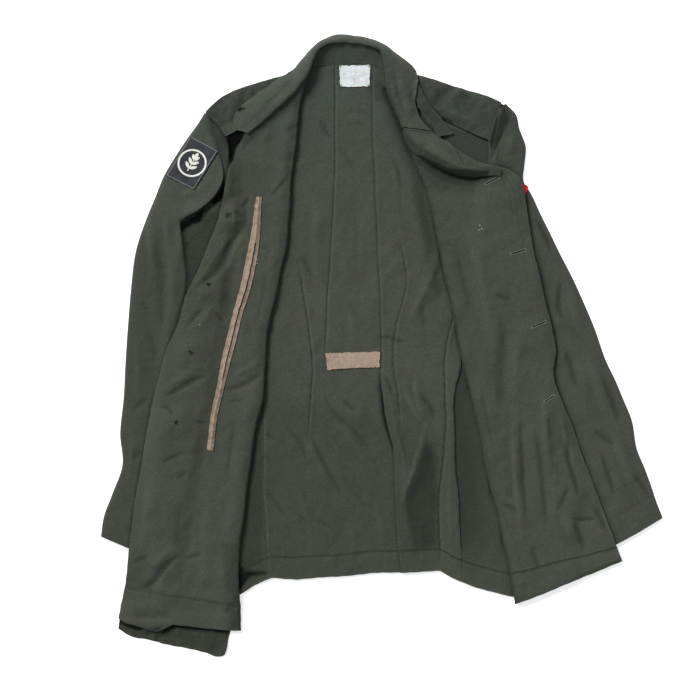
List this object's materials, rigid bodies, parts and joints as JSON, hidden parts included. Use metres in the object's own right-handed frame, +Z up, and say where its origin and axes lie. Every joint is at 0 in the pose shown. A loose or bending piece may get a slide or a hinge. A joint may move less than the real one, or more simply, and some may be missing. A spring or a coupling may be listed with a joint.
{
  "type": "bush shirt",
  "caption": "Long-sleeved olive bush shirt laid open on its back, both fronts turned out over the sleeves, with a tan waist patch and front tape.",
  "frame": {"origin": "bottom centre of the laid shirt's bounding box, on the surface that it lies on", "axes": "+Z up from the surface, +Y from the hem towards the neck, +X towards the wearer's left"},
  "size_m": [0.814, 0.8998, 0.0219],
  "materials": {
    "olive_cloth": "plain woven dark olive cloth, slightly worn",
    "tan_tape": "faded tan cotton",
    "label_white": "plain white label",
    "patch_slate": "slate cotton",
    "patch_red": "red felt",
    "button_dark": "dull dark plastic"
  },
  "bodies": {
    "root": {"back_centre": "olive_cloth", "back_hem": "olive_cloth", "back_left": "olive_cloth", "back_right": "olive_cloth", "back_side_left": "olive_cloth", "back_side_right": "olive_cloth", "button_1": "button_dark", "button_2": "button_dark", "button_3": "button_dark", "button_4": "button_dark", "collar": "olive_cloth", "collar_point": "olive_cloth", "collar_stand": "olive_cloth", "front_tape": "tan_tape", "left_front": "olive_cloth", "left_front_hem": "olive_cloth", "left_lapel": "olive_cloth", "left_sleeve": "olive_cloth", "left_yoke": "olive_cloth", "neck_label": "label_white", "red_patch": "patch_red", "right_front": "olive_cloth", "right_front_hem": "olive_cloth", "right_sleeve": "olive_cloth", "right_underhem": "olive_cloth", "right_yoke": "olive_cloth", "sleeve_patch": "patch_slate", "waist_patch": "tan_tape"}
  },
  "joints": []
}
